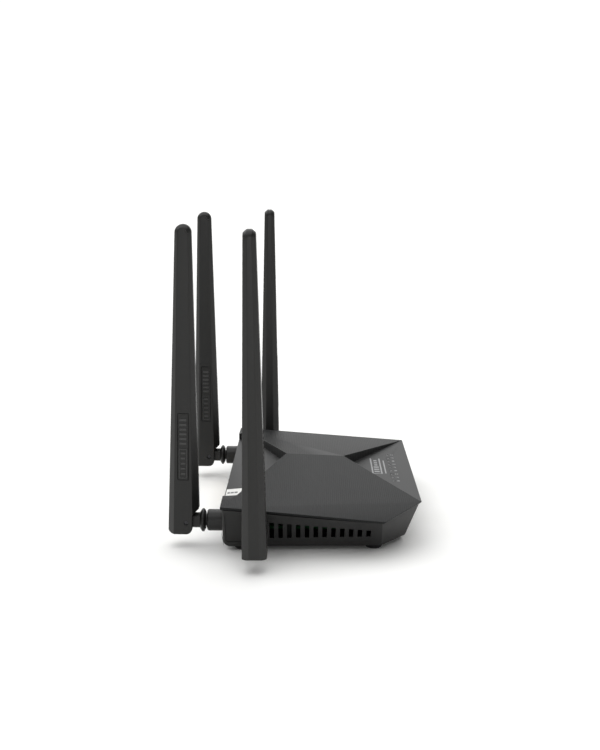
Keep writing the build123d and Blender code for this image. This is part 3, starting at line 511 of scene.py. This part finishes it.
def contactWire():
    # bent from sheet: flat at the back, sloping down towards the plug, its end curled back up
    path = contact["path"]
    bpy.ops.object.select_all(action="DESELECT")
    bpy.ops.mesh.primitive_plane_add(size=1, location=(0, (rearY - path[0][0]) * mm, path[0][1] * mm),
                                     rotation=(pi / 2, 0, 0))
    wire = bpy.context.object
    wire.scale = (contact["width"] * mm, contact["thick"] * mm, 1)
    bpy.ops.object.transform_apply(location=True, rotation=True, scale=True)
    bpy.ops.object.mode_set(mode="EDIT")
    bpy.ops.mesh.select_all(action="SELECT")
    for (oldV, oldZ), (newV, newZ) in zip(path, path[1:]):
        bpy.ops.mesh.extrude_region_move(
            TRANSFORM_OT_translate={"value": (0, (oldV - newV) * mm, (newZ - oldZ) * mm)})
    bpy.ops.mesh.select_all(action="SELECT")
    bpy.ops.mesh.normals_make_consistent(inside=False)
    bpy.ops.object.mode_set(mode="OBJECT")
    return wire


wires = []
first = contactWire()
for x in socketXs:
    for n in range(contact["count"]):
        wire = twin(first)
        wire.location.x = (x + (n - (contact["count"] - 1) / 2) * contact["pitch"]) * mm
        wires.append(wire)
bpy.data.objects.remove(first)
dress(joined(wires, "port_wires"), "case", "gold_contact", looks["gold_contact"], "port_contacts")

rearPrint = dict(size=3.2, height=0.04, clear=0.03, z=6.4, bar=(1.2, 0.12, 2.2), barPitch=2.2, barZ=7.4)


def numeral(text, x):
    # pad-printed number on the rear wall
    bpy.ops.object.select_all(action="DESELECT")
    bpy.ops.object.text_add(location=(x * mm, (rearY + rearPrint["clear"]) * mm, rearPrint["z"] * mm),
                            rotation=(pi / 2, 0, pi))
    word = bpy.context.object
    word.data.body = text
    word.data.size = rearPrint["size"] * mm
    word.data.extrude = rearPrint["height"] * mm
    word.data.align_x = "CENTER"
    bpy.ops.object.convert(target="MESH")
    return bpy.context.object


# the four network sockets are numbered, the internet socket has three bars
numerals = [numeral(str(n + 1), x) for n, x in enumerate(socketXs[1:])]
numerals += [barPiece((socketXs[0] + rearPrint["barPitch"] * k, rearY, rearPrint["barZ"]), rearPrint["bar"],
                      ink["edge"]) for k in (-1, 0, 1)]
dress(joined(numerals, "rear_numbers"), "case", "paper_label", printLook)

# generic printed lines: three short ones on the rear field's sticker, nine on the label underneath
labelInk = dict(height=0.06, edge=0.01)
sticker = dict(x=-59.6, z=27.95, slope=3.4 / 36.7, width=3.0, lines=((1.7, 1.6), (3.9, 2.0), (6.3, 2.0)))
baseLabel = dict(lines=9, x=-4.0, shift=1.2, firstV=42.0, pitch=3.2, z=2.44,
                 length=40.0, shorter=4.0, width=1.3)
greyInk = smallPart("greyInk", "#6d6e70", "#626365", 0.55, grain=0.4)  # darker than the cover's print
labelBars = []
for v, length in sticker["lines"]:
    labelBars.append(barPiece((sticker["x"], rearY - v, sticker["z"] + sticker["slope"] * v),
                              (sticker["width"], length, labelInk["height"]), labelInk["edge"],
                              -sticker["slope"]))
for k in range(baseLabel["lines"]):
    labelBars.append(barPiece((baseLabel["x"] + baseLabel["shift"] * (k % 3),
                               rearY - baseLabel["firstV"] - baseLabel["pitch"] * k, baseLabel["z"]),
                              (baseLabel["length"] - baseLabel["shorter"] * (k % 4), baseLabel["width"],
                               labelInk["height"]), labelInk["edge"]))
dress(joined(labelBars, "label_print"), "case", "paper_label", greyInk)
print("rear marks and label print made")


# studio: pale floor, soft light, camera; metres
studio = dict(floorSize=60.0, floorColour="#f8f8f7", floorShades=("#f2f2f0", "#f6f6f5"), floorGrain=60.0,
              seenWhite=1.05, surroundDark=0.12, surroundBright=1.0, darkUpTo=0.2, brightFrom=0.9)


def paleFloor():
    bpy.ops.object.select_all(action="DESELECT")
    bpy.ops.mesh.primitive_plane_add(size=studio["floorSize"])
    floor = bpy.context.object
    floor.name = "studioFloor"
    material, tree, shader, place = surface("paleBackdrop", studio["floorColour"], 0.9, 0.1)
    fine = addNode(tree, "ShaderNodeTexNoise", {
        "Vector": place, "Scale": 1 / (studio["floorGrain"] * mm), "Detail": 1.0, "Roughness": 0.55})
    addNode(tree, "ShaderNodeValToRGB", {"Fac": fine.outputs["Fac"]}, shader["Base Color"],
            studio["floorShades"])
    floor.data.materials.append(material)


def whiteSurround():
    # white where the camera sees it; as a light, dark behind the camera and brighter past the object
    world = bpy.data.worlds.new("studioSurround")
    bpy.context.scene.world = world
    world.use_nodes = True
    tree = world.node_tree
    tree.nodes.clear()
    seen = addNode(tree, "ShaderNodeLightPath").outputs["Is Camera Ray"]
    towards = addNode(tree, "ShaderNodeSeparateXYZ",
                      {"Vector": addNode(tree, "ShaderNodeTexCoord").outputs["Generated"]})
    across = addNode(tree, "ShaderNodeMapRange", {
        "Value": towards.outputs["X"], "From Min": studio["darkUpTo"], "From Max": studio["brightFrom"],
        "To Min": studio["surroundDark"], "To Max": studio["surroundBright"]},
        interpolation_type="SMOOTHSTEP")
    lit = addNode(tree, "ShaderNodeBackground", {"Color": (1, 1, 1, 1), "Strength": across.outputs["Result"]})
    white = addNode(tree, "ShaderNodeBackground", {"Color": (1, 1, 1, 1), "Strength": studio["seenWhite"]})
    mix = addNode(tree, "ShaderNodeMixShader", {0: seen, 1: lit.outputs[0], 2: white.outputs[0]})
    addNode(tree, "ShaderNodeOutputWorld", {"Surface": mix.outputs[0]})


def lampTowards(name, kind, direction, strength):
    light = bpy.data.lights.new(name, kind)
    light.energy = strength
    lamp = bpy.data.objects.new(name, light)
    bpy.context.scene.collection.objects.link(lamp)
    lamp.rotation_euler = Vector(direction).to_track_quat("-Z", "Y").to_euler()
    return lamp


def wideSun(name, direction, strength, spread):
    # light of one direction, spread into a soft cap of sky
    lampTowards(name, "SUN", direction, strength).data.angle = radians(spread)


def softLight(name, place, target, size, watts):
    lamp = lampTowards(name, "AREA", Vector(target) - Vector(place), watts)
    lamp.location = place
    lamp.data.shape = "RECTANGLE"
    lamp.data.size, lamp.data.size_y = size


paleFloor()
whiteSurround()
wideSun("overheadSky", direction=(-0.15, -0.22, -1.0), strength=3.3, spread=105)
softLight("frontalFill", place=(-1.6, -0.1, 0.45), target=(0, 0, 0.1), size=(0.5, 0.6), watts=3.0)
softLight("frontCornerFill", place=(-0.9, -1.5, 0.35), target=(0, 0, 0.03), size=(0.7, 0.4), watts=1.0)

view = dict(at=(-0.7308, -0.00927, 0.2347), forward=(0.9816, 0.0098, -0.1908), roll=0.003,
            lens=53.1, nearest=0.01)
camera = bpy.data.objects.new("studioCamera", bpy.data.cameras.new("studioCamera"))
bpy.context.scene.collection.objects.link(camera)
camera.data.lens = view["lens"]
camera.data.clip_start = view["nearest"]
forward = Vector(view["forward"]).normalized()
right = forward.cross(Vector((0, 0, 1))).normalized()
up = right.cross(forward)
right, up = (cos(view["roll"]) * right + sin(view["roll"]) * up,
             cos(view["roll"]) * up - sin(view["roll"]) * right)
camera.matrix_world = Matrix.Translation(view["at"]) @ Matrix((right, up, -forward)).transposed().to_4x4()
bpy.context.scene.camera = camera
bpy.context.scene.view_settings.view_transform = "Standard"
print("studio set")
